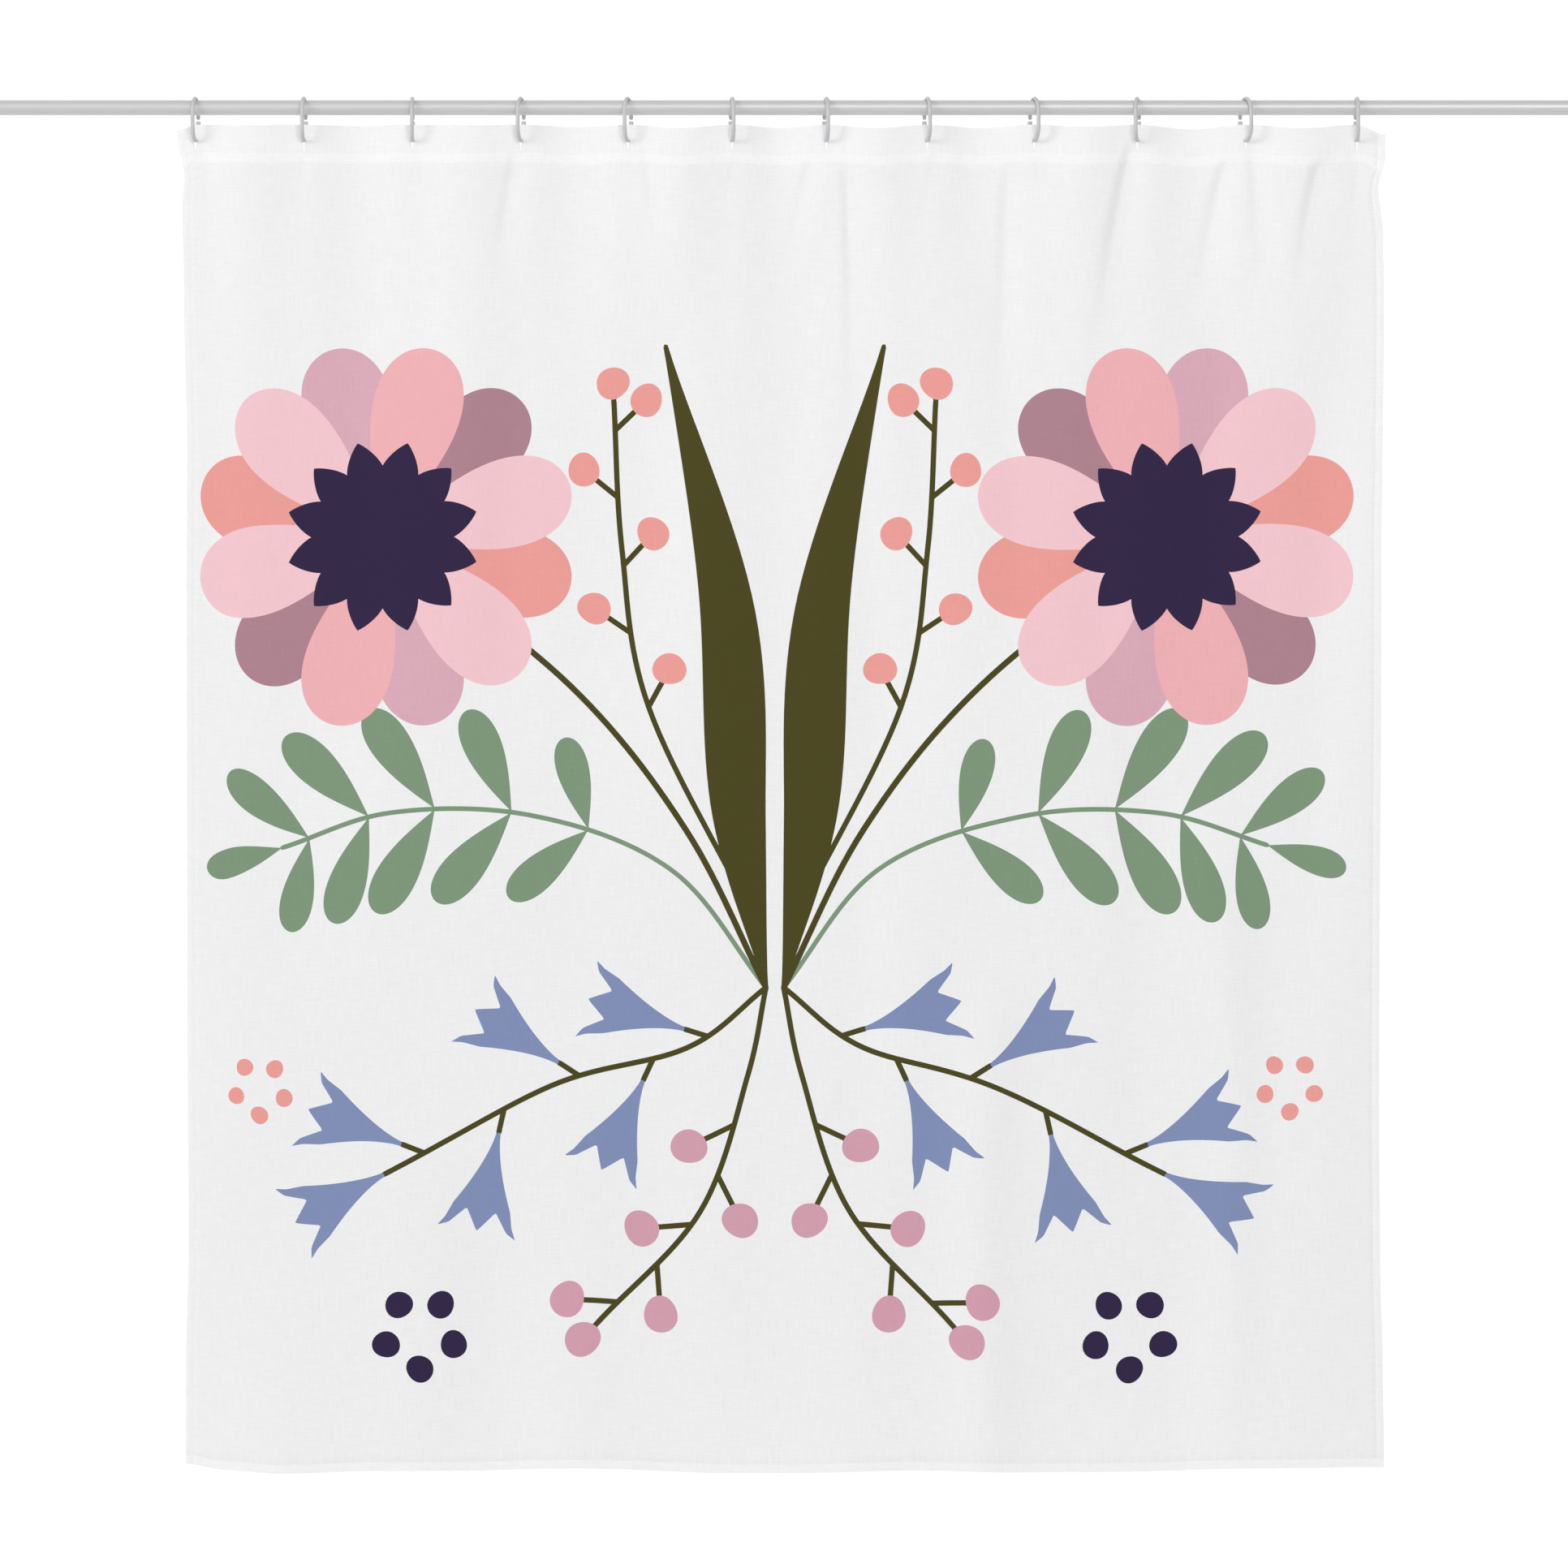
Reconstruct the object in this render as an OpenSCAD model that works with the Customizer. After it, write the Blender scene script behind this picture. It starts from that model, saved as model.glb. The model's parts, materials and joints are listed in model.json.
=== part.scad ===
// Fabric shower curtain on snap rings, hung from a straight rail between two walls.
// Millimetres. X runs along the rail, -Y is the printed front, +Z is up.
// The origin is on the rail's axis, halfway between the walls.

/* [Rail] */
// Distance between the two walls
wall_gap = 2420; // [2300:10:2600]
// Outer diameter of the rail tube
rail_d = 22; // [18:0.5:24]
// Wall thickness of the rail tube
rail_wall = 1.2; // [0.8:0.1:2]

/* [Wall flanges] */
// Diameter of the plate that is screwed to the wall
flange_d = 58; // [54:1:70]
// Thickness of that plate
flange_t = 5; // [4:0.5:8]
// Diameter of the socket that takes the rail
socket_d = 30; // [28:0.5:32]
// Length of the socket, from the wall
socket_len = 26; // [22:1:40]
// Number of wall screws
screw_count = 3; // [2:1:4]
// Diameter of the circle that the wall screws lie on
screw_pcd = 44; // [43:1:48]
// Diameter of each screw hole
screw_hole_d = 4.5; // [3.5:0.5:5]
// Diameter of the grub screw that clamps the rail
grub_d = 4; // [3:0.5:5]

/* [Snap rings] */
// Places of the rings along the rail, from mid-span
ring_x = [-863, -704, -545, -386, -229, -76, 62, 210, 367, 518, 677, 840]; // [-900:1:900]
// Turn of each ring about the vertical, in degrees
ring_yaw = [-7, -4, 1, -10, -12, 6, 7, 10, 15, -9, 19, 1]; // [-20:1:20]
// Diameter of the ring's round section
wire_d = 4.8; // [4:0.2:5]
// Overall depth of a ring, front to back
ring_depth = 48; // [44:1:54]
// Overall height of a ring
ring_h = 67; // [62:1:74]
// Gap between the tips of the open back arm
snap_gap = 2.4; // [1.5:0.1:3]
// Diameter of the cup on the lower tip
cup_d = 6.2; // [5.4:0.2:7]

/* [Cloth] */
// Depth of the cloth's top edge below the rail's axis
cloth_top = 25; // [24.5:0.5:30]
// Depth of the cloth's bottom edge below the rail's axis
cloth_drop = 2002; // [1600:1:2200]
// Cloth past the first ring, to the left side edge
left_margin = 24; // [18:1:40]
// Cloth past the last ring, to the right side edge
right_margin = 42; // [20:1:50]
// Thickness of one layer of cloth
cloth_t = 0.5; // [0.3:0.1:0.8]
// How far the cloth stands out between two rings
fold_bow = 10; // [4:1:18]
// Height of the hem along the top
top_hem = 56; // [50:1:80]
// Height of the hem along the bottom
bottom_hem = 13; // [8:1:40]
// Length of a buttonhole slit
slit_len = 17; // [14:1:20]

/* [Hidden] */
ring_count = len(ring_x);
last = ring_count - 1;
fit_gap = 0.05;
strip_gap = 0.2;
eps = 0.01;
$fn = 64;

// Heights of the ring's parts, from the rail's axis
wire_r = wire_d / 2;
bend_r = (ring_depth - wire_d) / 2;
apex_z = rail_d / 2 + 0.3 + wire_r;
upper_z = apex_z - bend_r;
lower_z = upper_z - (ring_h - ring_depth);
snap_z = (upper_z + lower_z) / 2;
hang_z = lower_z - bend_r;
cup_h = 6;
cup_taper = 3;
apex_gap = 0.4;

// Steps across each strip of cloth
strip_steps = 8;
slit_w = wire_d + 0.8;

function two_digits(i) = i < 9 ? str("0", i + 1) : str(i + 1);
function ring_name(i) = str("ring_", two_digits(i));
function clip_name(i) = str("clip_", two_digits(i));
function ring_cloth_name(i) = str("cloth_at_ring_", two_digits(i));
function fold_cloth_name(i) = str("cloth_fold_", two_digits(i));

// ---- rail and wall flanges ----

module along_x(h, r) {
    rotate([0, 90, 0]) cylinder(h = h, r = r, center = true);
}

module rail_tube() {
    length = wall_gap - 2 * flange_t - 1;
    color("silver") difference() {
        along_x(length, rail_d / 2);
        along_x(length + 1, rail_d / 2 - rail_wall);
    }
}

// A flange with its back on the plane z = 0 and its socket towards +Z
module flange() {
    edge = 2;
    difference() {
        rotate_extrude() polygon([
            [0, 0], [flange_d / 2, 0], [flange_d / 2, flange_t - edge],
            [flange_d / 2 - edge, flange_t], [socket_d / 2 + edge, flange_t],
            [socket_d / 2, flange_t + edge], [socket_d / 2, socket_len - 1],
            [socket_d / 2 - 1, socket_len], [0, socket_len]
        ]);
        translate([0, 0, flange_t]) cylinder(h = socket_len, r = rail_d / 2 + fit_gap);
        for (i = [0 : screw_count - 1]) rotate([0, 0, 360 * i / screw_count])
            translate([screw_pcd / 2, 0, -1]) cylinder(h = flange_t + 2, d = screw_hole_d);
        translate([0, 0, grub_height()]) rotate([0, 90, 0])
            cylinder(h = socket_d, d = grub_d + 2 * fit_gap);
    }
}

function grub_height() = (flange_t + socket_len) / 2 + 1;

// The grub screw of a flange that lies as flange() does
module grub_screw() {
    grub_len = (socket_d - rail_d) / 2;
    translate([rail_d / 2 + fit_gap, 0, grub_height()]) rotate([0, 90, 0]) difference() {
        cylinder(h = grub_len, d = grub_d);
        translate([0, 0, grub_len - 2]) cylinder(h = 3, d = grub_d / 2, $fn = 6);
    }
}

// Stands its child on the left (-1) or right (1) wall, with the child's +X downwards
module on_wall(side) {
    translate([side * wall_gap / 2, 0, 0]) mirror([side > 0 ? 1 : 0, 0, 0])
        rotate([0, 90, 0]) children();
}

module flange_left() {
    color("silver") on_wall(-1) flange();
}

module flange_right() {
    color("silver") on_wall(1) flange();
}

module grub_screw_left() {
    color("dimgray") on_wall(-1) grub_screw();
}

module grub_screw_right() {
    color("dimgray") on_wall(1) grub_screw();
}

// ---- snap rings ----

// An arc of round section in the YZ plane; angles run from +Y towards +Z
module wire_arc(centre_z, from, to) {
    translate([0, 0, centre_z]) rotate([90, 0, 90]) rotate([0, 0, from])
        rotate_extrude(angle = to - from) translate([bend_r, 0]) circle(d = wire_d, $fn = 32);
}

module wire_leg(y, from_z, to_z) {
    translate([0, y, from_z]) cylinder(h = to_z - from_z, d = wire_d, $fn = 32);
}

module place_ring(i) {
    translate([ring_x[i], 0, 0]) rotate([0, 0, ring_yaw[i]]) children();
}

// The whole ring but its springy upper back arm
module ring(i) {
    cup_top = snap_z - snap_gap / 2;
    color("gainsboro") place_ring(i) {
        wire_arc(upper_z, 90, 180);
        wire_leg(-bend_r, lower_z, upper_z);
        wire_arc(lower_z, 180, 360);
        wire_leg(bend_r, lower_z, cup_top - eps);
        translate([0, bend_r, cup_top - cup_h]) cylinder(h = cup_h, d = cup_d, $fn = 32);
        translate([0, bend_r, cup_top - cup_h - cup_taper])
            cylinder(h = cup_taper, d1 = wire_d, d2 = cup_d, $fn = 32);
    }
}

// The upper back arm, which springs outwards to open the ring
module clip(i) {
    tip_z = snap_z + snap_gap / 2 + wire_r;
    color("gainsboro") place_ring(i) {
        wire_arc(upper_z, 0, 90 - apex_gap);
        wire_leg(bend_r, tip_z, upper_z);
        translate([0, bend_r, tip_z]) sphere(d = wire_d, $fn = 32);
    }
}

// ---- cloth ----

// The bay right of ring i is bowed to the front for even i, and to the back for odd i
function bow_side(i) = i % 2 == 0 ? -1 : 1;
function bay_w(i) = ring_x[i + 1] - ring_x[i];
function bay_y(i, x) =
    i < 0 || i >= last ? 0 : bow_side(i) * fold_bow * (1 - cos(360 * (x - ring_x[i]) / bay_w(i))) / 2;
function cloth_y(i, x) = x < ring_x[i] ? bay_y(i - 1, x) : bay_y(i, x);

function strip_left(i) = i == 0 ? ring_x[0] - left_margin : ring_x[i] - bay_w(i - 1) / 4;
function strip_right(i) = i == last ? ring_x[last] + right_margin : ring_x[i] + bay_w(i) / 4;

// A band of cloth from x = a to x = b that follows the bows on both sides of ring i
module band(i, a, b, t, low_z, high_z) {
    xs = [for (s = [0 : strip_steps]) a + (b - a) * s / strip_steps];
    front = [for (x = xs) [x, cloth_y(i, x) - t / 2]];
    back = [for (x = xs) [x, cloth_y(i, x) + t / 2]];
    translate([0, 0, low_z]) linear_extrude(height = high_z - low_z)
        polygon(concat(front, [for (s = [strip_steps : -1 : 0]) back[s]]));
}

// A strip of cloth over its full drop, doubled at the hems
module strip(i, a, b) {
    left = a + strip_gap / 2;
    right = b - strip_gap / 2;
    band(i, left, right, cloth_t, -cloth_drop, -cloth_top);
    band(i, left, right, 2 * cloth_t, -cloth_top - top_hem, -cloth_top);
    band(i, left, right, 2 * cloth_t, -cloth_drop, -cloth_drop + bottom_hem);
}

// The buttonhole, held open by the ring at its top
module slit() {
    half = slit_w / 2;
    translate([0, 10, 0]) rotate([90, 0, 0]) {
        translate([0, hang_z]) cylinder(h = 20, r = half);
        linear_extrude(height = 20) polygon([
            [-half, hang_z], [half, hang_z], [0.3, hang_z - slit_len + half],
            [-0.3, hang_z - slit_len + half]
        ]);
    }
}

module cloth_at_ring(i) {
    color("whitesmoke") difference() {
        strip(i, strip_left(i), strip_right(i));
        translate([ring_x[i], 0, 0]) slit();
    }
}

module cloth_fold(i) {
    color("whitesmoke") strip(i, strip_right(i), strip_left(i + 1));
}

rail_tube();
flange_left();
flange_right();
grub_screw_left();
grub_screw_right();
for (i = [0 : last]) {
    ring(i);
    clip(i);
    cloth_at_ring(i);
}
for (i = [0 : last - 1]) cloth_fold(i);
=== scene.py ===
"""Shower curtain with a printed floral front, on snap rings and a straight rail.

Metres. X runs along the rail, -Y is the printed front, +Z is up.
"""
import json
import math

import bpy
import numpy as np
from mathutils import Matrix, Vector
from mathutils.geometry import delaunay_2d_cdt
from mathutils.kdtree import KDTree


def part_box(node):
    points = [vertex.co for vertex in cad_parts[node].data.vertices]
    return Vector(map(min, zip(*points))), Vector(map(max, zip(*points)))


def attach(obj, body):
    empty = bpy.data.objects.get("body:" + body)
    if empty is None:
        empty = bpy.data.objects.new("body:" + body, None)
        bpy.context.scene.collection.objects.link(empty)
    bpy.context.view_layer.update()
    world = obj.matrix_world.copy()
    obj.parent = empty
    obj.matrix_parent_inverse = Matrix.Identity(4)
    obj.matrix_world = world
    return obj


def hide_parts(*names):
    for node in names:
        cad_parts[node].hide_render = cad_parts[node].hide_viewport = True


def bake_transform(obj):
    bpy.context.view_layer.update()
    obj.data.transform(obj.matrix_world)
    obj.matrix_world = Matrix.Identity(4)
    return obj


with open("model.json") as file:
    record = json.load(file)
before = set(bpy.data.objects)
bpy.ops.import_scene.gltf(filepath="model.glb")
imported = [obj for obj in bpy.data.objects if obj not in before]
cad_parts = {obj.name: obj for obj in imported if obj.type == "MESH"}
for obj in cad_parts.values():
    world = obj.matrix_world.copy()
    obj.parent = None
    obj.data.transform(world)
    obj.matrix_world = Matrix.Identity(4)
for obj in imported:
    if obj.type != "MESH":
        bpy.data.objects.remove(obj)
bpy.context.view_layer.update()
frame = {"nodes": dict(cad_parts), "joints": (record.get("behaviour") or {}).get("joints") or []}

MM = 0.001

# ---------------------------------------------------------------- what the CAD model says

# Each ring's place and turn are its clip joint's place and axis
clips = [j for j in frame["joints"] if j["name"].startswith("clip_")]
RING_X = [j["pos_m"][0] for j in clips]
RING_YAW = [math.atan2(j["axis"][1], j["axis"][0]) for j in clips]
RING_TOP = clips[0]["pos_m"][2]
BAYS = len(RING_X) - 1
CLOTH_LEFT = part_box("cloth_at_ring_01")[0].x
CLOTH_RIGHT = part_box(f"cloth_at_ring_{BAYS + 1:02d}")[1].x
CLOTH_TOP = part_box("cloth_fold_01")[1].z
CLOTH_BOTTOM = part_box("cloth_fold_01")[0].z

# ---------------------------------------------------------------- sizes in metres, and counts

RING_HEIGHT = 0.067
RING_DEPTH = 0.048
WIRE_D = 0.0048
SNAP_GAP = 0.0024
CUP_D = 0.0058
RING_WIDE = 1.22
CUP_LENGTH = 0.009

TOP_HEM = 0.056
TOP_HEM_TURN = 0.015
BOTTOM_HEM = 0.013
SIDE_HEM = 0.011
CLOTH_T = 0.0005
SLIT_TOP_HALF = 0.0032
SLIT_LENGTH = 0.019
PIECE_EDGE = 0.004
MIRROR_X = -0.0135

PRINT_STEP = 0.005
SLIT_STEP = 0.0011
SEAM_PITCH = 0.0013
POINT_GAP = 0.0026
FINE_DEPTH = 0.3
FINE_ROWS = 58
PLAIN_ROWS = 125
COLUMNS = 260

THREAD_PITCH = 0.0006
STITCH_PITCH = 0.0032
STITCH_LENGTH = 0.0023
STITCH_R = 0.00022

# ---------------------------------------------------------------- colours


def linear(r, g, b):
    """An sRGB colour of 0 to 255 as linear RGB."""
    def one(c):
        c /= 255
        return c / 12.92 if c <= 0.04045 else ((c + 0.055) / 1.055) ** 2.4
    return (one(r), one(g), one(b))


WHITE = linear(241, 241, 242)
INKS = {
    "pink": linear(244, 199, 206),
    "plum": linear(174, 130, 143),
    "salmon": linear(239, 177, 182),
    "mauve": linear(218, 170, 185),
    "coral": linear(236, 158, 151),
    "navy": linear(45, 31, 68),
    "leaf": linear(125, 151, 122),
    "olive": linear(72, 68, 22),
    "rose": linear(211, 158, 175),
    "blue": linear(128, 143, 183),
}
BLEED_THROUGH = 0.16
LAYER_GAIN = 0.026

# ---------------------------------------------------------------- camera, light and floor

RANGE_SOCKETS = ("From Min", "From Max", "To Min", "To Max")


def look_at(obj, target):
    obj.rotation_euler = (Vector(target) - obj.location).to_track_quat("-Z", "Y").to_euler()


def make_camera():
    """A long lens square to the curtain; the frame is 2.3 m wide at the cloth."""
    distance, width, centre_z = 12.0, 2.299, -0.9915
    data = bpy.data.cameras.new("camera")
    data.sensor_width = 36
    data.lens = 36 * distance / width
    data.clip_end = 100
    cam = bpy.data.objects.new("camera", data)
    cam.location = (0, -distance, centre_z)
    bpy.context.scene.collection.objects.link(cam)
    look_at(cam, (0, 0, centre_z))
    bpy.context.scene.camera = cam


def grade(nodes, links, source, axis, span, values, target):
    """Feeds a socket with a smooth step along one axis of a texture coordinate."""
    parts, ramp = nodes.new("ShaderNodeSeparateXYZ"), nodes.new("ShaderNodeMapRange")
    ramp.interpolation_type = "SMOOTHSTEP"
    for socket, value in zip(RANGE_SOCKETS, (*span, *values)):
        ramp.inputs[socket].default_value = value
    links.new(source, parts.inputs[0])
    links.new(parts.outputs[axis], ramp.inputs["Value"])
    links.new(ramp.outputs["Result"], target)


def make_light():
    """A pale room, brightest behind the curtain, with soft lamps at the left, the front and the back."""
    scene = bpy.context.scene
    scene.view_settings.view_transform = "Standard"
    world = bpy.data.worlds.new("studio")
    world.use_nodes = True
    nodes, links = world.node_tree.nodes, world.node_tree.links
    background = nodes["Background"]
    background.inputs["Color"].default_value = (1, 1, 1, 1)
    direction = nodes.new("ShaderNodeTexCoord").outputs["Generated"]
    grade(nodes, links, direction, "Y", (0.3, 0.8), (0.53, 1.06), background.inputs["Strength"])
    scene.world = world
    for name, place, size, power in (
        ("key", (-12.0, -9.0, 3.4), 6.5, 690),
        ("front", (2.0, -10.0, 3.2), 4.5, 328),
        ("back", (9.0, 9.0, 1.5), 4.0, 100),
    ):
        data = bpy.data.lights.new(name, "AREA")
        data.shape = "DISK"
        data.size = size
        data.energy = power
        lamp = bpy.data.objects.new(name, data)
        lamp.location = place
        lamp.visible_camera = False
        scene.collection.objects.link(lamp)
        look_at(lamp, (0, 0, -0.9))


def make_floor():
    """A plain pale floor below the curtain that glows: no glow in front of it, most glow behind it."""
    floor_z, half = CLOTH_BOTTOM - 0.22, 9.0
    mesh = bpy.data.meshes.new("floor")
    corners = [(x * half, y * half, floor_z) for x, y in ((-1, -1), (1, -1), (1, 1), (-1, 1))]
    mesh.from_pydata(corners, [], [(0, 1, 2, 3)])
    floor = bpy.data.objects.new("floor", mesh)
    bpy.context.scene.collection.objects.link(floor)
    mat = bpy.data.materials.new("pale_floor")
    mat.use_nodes = True
    nodes, links = mat.node_tree.nodes, mat.node_tree.links
    shader = nodes["Principled BSDF"]
    shader.inputs["Base Color"].default_value = (0.7, 0.7, 0.7, 1)
    shader.inputs["Roughness"].default_value = 0.9
    shader.inputs["Specular IOR Level"].default_value = 0.1
    shader.inputs["Emission Color"].default_value = (1, 1, 1, 1)
    where = nodes.new("ShaderNodeTexCoord").outputs["Object"]
    # Painted light: the floor's glow grows from none in front of the curtain to its strongest behind it.
    grade(nodes, links, where, "Y", (-0.8, 0.9), (0.0, 0.52), shader.inputs["Emission Strength"])
    mesh.materials.append(mat)


# ---------------------------------------------------------------- node helpers


class Nodes:
    """Short calls for building one material's node tree."""

    def __init__(self, name):
        self.mat = bpy.data.materials.new(name)
        self.mat.use_nodes = True
        self.tree = self.mat.node_tree
        self.shader = self.tree.nodes["Principled BSDF"]

    def add(self, kind, **values):
        node = self.tree.nodes.new("ShaderNode" + kind)
        for key, value in values.items():
            setattr(node, key, value)
        return node

    def link(self, source, target):
        self.tree.links.new(source, target)

    def put(self, source, node, socket):
        """Links a socket, or sets a plain value."""
        if isinstance(source, bpy.types.NodeSocket):
            self.link(source, node.inputs[socket])
        else:
            node.inputs[socket].default_value = source

    def maths(self, operation, a, b=0.0):
        node = self.add("Math", operation=operation)
        self.put(a, node, 0)
        self.put(b, node, 1)
        return node.outputs[0]

    def scaled(self, source, scale):
        node = self.add("VectorMath", operation="MULTIPLY")
        self.put(source, node, 0)
        node.inputs[1].default_value = scale
        return node.outputs[0]

    def noise(self, source, scale, detail=2.0):
        node = self.add("TexNoise")
        self.put(source, node, "Vector")
        node.inputs["Scale"].default_value = scale
        node.inputs["Detail"].default_value = detail
        return node.outputs["Fac"]

    def ranged(self, source, low, high, from_low=0.0, from_high=1.0):
        node = self.add("MapRange")
        self.put(source, node, "Value")
        for socket, value in zip(RANGE_SOCKETS, (from_low, from_high, low, high)):
            node.inputs[socket].default_value = value
        return node.outputs["Result"]

    def tinted(self, colour, factor):
        """colour times a grey factor."""
        node = self.add("VectorMath", operation="SCALE")
        self.put(colour, node, 0)
        self.put(factor, node, "Scale")
        return node.outputs[0]

    def bump(self, height, strength, distance):
        node = self.add("Bump")
        node.inputs["Strength"].default_value = strength
        node.inputs["Distance"].default_value = distance
        self.link(height, node.inputs["Height"])
        self.link(node.outputs[0], self.shader.inputs["Normal"])

    def constants(self, **values):
        for key, value in values.items():
            self.shader.inputs[key.replace("_", " ")].default_value = value


def cloth_material():
    """Plain-weave polyester: fine threads both ways, uneven yarns, and the ink of each face."""
    n = Nodes("printed_cloth")
    ink = n.add("Attribute", attribute_name="ink", attribute_type="GEOMETRY")
    flat = n.add("UVMap", uv_map="flat")
    threads = 1 / THREAD_PITCH
    split = n.add("SeparateXYZ")
    n.link(n.scaled(flat.outputs[0], (math.tau * threads,) * 3), split.inputs[0])
    warp = n.maths("SINE", split.outputs["X"])
    weft = n.maths("SINE", split.outputs["Y"])
    weave = n.maths("MULTIPLY", warp, weft)
    warp_yarn = n.noise(n.scaled(flat.outputs[0], (850, 26, 1)), 1.0)
    weft_yarn = n.noise(n.scaled(flat.outputs[0], (34, 800, 1)), 1.0)
    yarn = n.maths("ADD", warp_yarn, weft_yarn)
    mottle = n.noise(n.scaled(flat.outputs[0], (180, 90, 1)), 1.0, 4.0)
    shade = n.maths("ADD", n.ranged(yarn, 0.95, 1.04, 0.6, 1.4), n.ranged(mottle, -0.008, 0.008, 0.3, 0.7))
    shade = n.maths("ADD", shade, n.ranged(weave, -0.02, 0.02, -1.0, 1.0))
    n.link(n.tinted(ink.outputs["Color"], shade), n.shader.inputs["Base Color"])
    height = n.maths("ADD", n.ranged(weave, 0.0, 0.5, -1.0, 1.0), yarn)
    place = n.add("SeparateXYZ")
    n.link(flat.outputs[0], place.inputs[0])
    pucker = n.ranged(n.noise(n.scaled(flat.outputs[0], (150, 22, 1)), 1.0), -12.0, 12.0, 0.3, 0.7)
    for seam in (-CLOTH_TOP + TOP_HEM, -CLOTH_BOTTOM - BOTTOM_HEM):
        away = n.maths("ABSOLUTE", n.maths("SUBTRACT", place.outputs["Y"], seam))
        band = n.ranged(away, 1.0, 0.0, 0.0, 0.014)
        height = n.maths("ADD", height, n.maths("MULTIPLY", n.maths("MULTIPLY", band, band), pucker))
    n.bump(height, 0.25, 0.00012)
    n.constants(Roughness=0.88, Sheen_Weight=0.12, Sheen_Roughness=0.5, Specular_IOR_Level=0.25)
    return n.mat


def plastic_material():
    """Moulded light grey plastic, with a faint orange peel and slightly uneven gloss."""
    n = Nodes("ring_plastic")
    where = n.add("TexCoord").outputs["Object"]
    peel = n.noise(where, 700.0, 3.0)
    cloud = n.noise(where, 60.0, 2.0)
    shade = n.ranged(cloud, 0.96, 1.03, 0.3, 0.7)
    n.link(n.tinted(linear(200, 200, 202), shade), n.shader.inputs["Base Color"])
    n.link(n.ranged(peel, 0.3, 0.42, 0.3, 0.7), n.shader.inputs["Roughness"])
    n.bump(peel, 0.12, 0.0002)
    n.constants(Specular_IOR_Level=0.3)
    return n.mat


def metal_material(name, colour, metallic, roughness, brush):
    """Satin metal with fine brushed lines, their direction set by the brush scale."""
    n = Nodes(name)
    where = n.add("TexCoord").outputs["Object"]
    lines = n.noise(n.scaled(where, brush), 1.0, 3.0)
    cloud = n.noise(where, 9.0, 2.0)
    shade = n.maths("ADD", n.ranged(lines, 0.97, 1.02, 0.3, 0.7), n.ranged(cloud, -0.01, 0.01, 0.3, 0.7))
    n.link(n.tinted(colour, shade), n.shader.inputs["Base Color"])
    n.link(n.ranged(lines, roughness - 0.05, roughness + 0.06, 0.3, 0.7), n.shader.inputs["Roughness"])
    n.bump(lines, 0.08, 0.0001)
    n.constants(Metallic=metallic)
    return n.mat


# ---------------------------------------------------------------- the print's shapes
# Print coordinates are millimetres: across, away from the mirror line, and down, below the rail's axis.


def turned(points, base, direction):
    """Local (along, side) points laid along a direction from a base point."""
    points, direction = np.asarray(points, float), np.asarray(direction, float)
    d = direction / np.linalg.norm(direction)
    side = np.array((-d[1], d[0]))
    return np.asarray(base, float) + points[:, :1] * d + points[:, 1:] * side


def drop(base, tip, width, point):
    """A petal or leaf: narrow at its base, round at its tip, widest nearer the tip as point grows."""
    base, tip = np.asarray(base, float), np.asarray(tip, float)
    length = np.linalg.norm(tip - base)
    t = np.linspace(0, math.tau, 90, endpoint=False)
    shape = np.sin(t) * np.sin(t / 2) ** point
    along = (1 - np.cos(t)) / 2
    side = width / 2 * shape / shape.max()
    return turned(np.column_stack((along * length, side)), base, tip - base)


def spear(base, tip, width):
    """A leaf that is widest near its base and pointed at its tip."""
    return drop(tip, base, width, 0.8)


def curve(points, steps=14):
    """A smooth line through a few points."""
    p = np.asarray(points, float)
    p = np.vstack((2 * p[0] - p[1], p, 2 * p[-1] - p[-2]))
    t = np.linspace(0, 1, steps, endpoint=False)[:, None]
    line = [
        0.5 * (2 * b + (c - a) * t + (2 * a - 5 * b + 4 * c - d) * t**2 + (3 * b - a - 3 * c + d) * t**3)
        for a, b, c, d in zip(p, p[1:], p[2:], p[3:])
    ]
    return np.vstack(line + [p[-2:-1]])


def ribbon(points, width):
    """A stem or strap along a smooth line. width is a number, or a function of 0 to 1 along it."""
    line = curve(points)
    step = np.gradient(line, axis=0)
    step /= np.linalg.norm(step, axis=1)[:, None]
    side = np.column_stack((-step[:, 1], step[:, 0]))
    run = np.linspace(0, 1, len(line))
    half = (np.array([width(t) for t in run]) if callable(width) else np.full(len(line), width)) / 2
    caps = []
    for end, way in ((-1, 1), (0, -1)):
        a = np.linspace(90, -90, 9)[1:-1, None] * math.pi / 180
        caps.append(line[end] + half[end] * (way * side[end] * np.sin(a) + way * step[end] * np.cos(a)))
    return np.vstack((line + side * half[:, None], caps[0], (line - side * half[:, None])[::-1], caps[1]))


def berry(centre, radius, wobble, turn=0.0):
    """A nearly round dot."""
    a = np.linspace(0, math.tau, 40, endpoint=False)
    r = radius * (1 + wobble * np.cos(2 * a + turn) + wobble / 2 * np.sin(3 * a + 2 * turn))
    return np.column_stack((centre[0] + r * np.cos(a), centre[1] + r * np.sin(a)))


def bell(base, direction, length, mouth):
    """A plain bell flower: a flared cup that ends in three even teeth."""
    s = np.linspace(0, 1, 14)
    flare = np.column_stack((0.74 * length * s, mouth / 2 * (0.06 + 0.72 * s**1.5)))
    rim = [(0.9, 0.46), (1.0, 0.54), (0.95, 0.4), (0.77, 0.2), (0.93, 0.05), (0.98, 0.0)]
    rim += [(a, -b) for a, b in rim[-2::-1]]
    rim = [(a * length, b * mouth) for a, b in rim]
    return turned(np.vstack((flare, rim, flare[::-1] * (1, -1))), base, direction)


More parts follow.
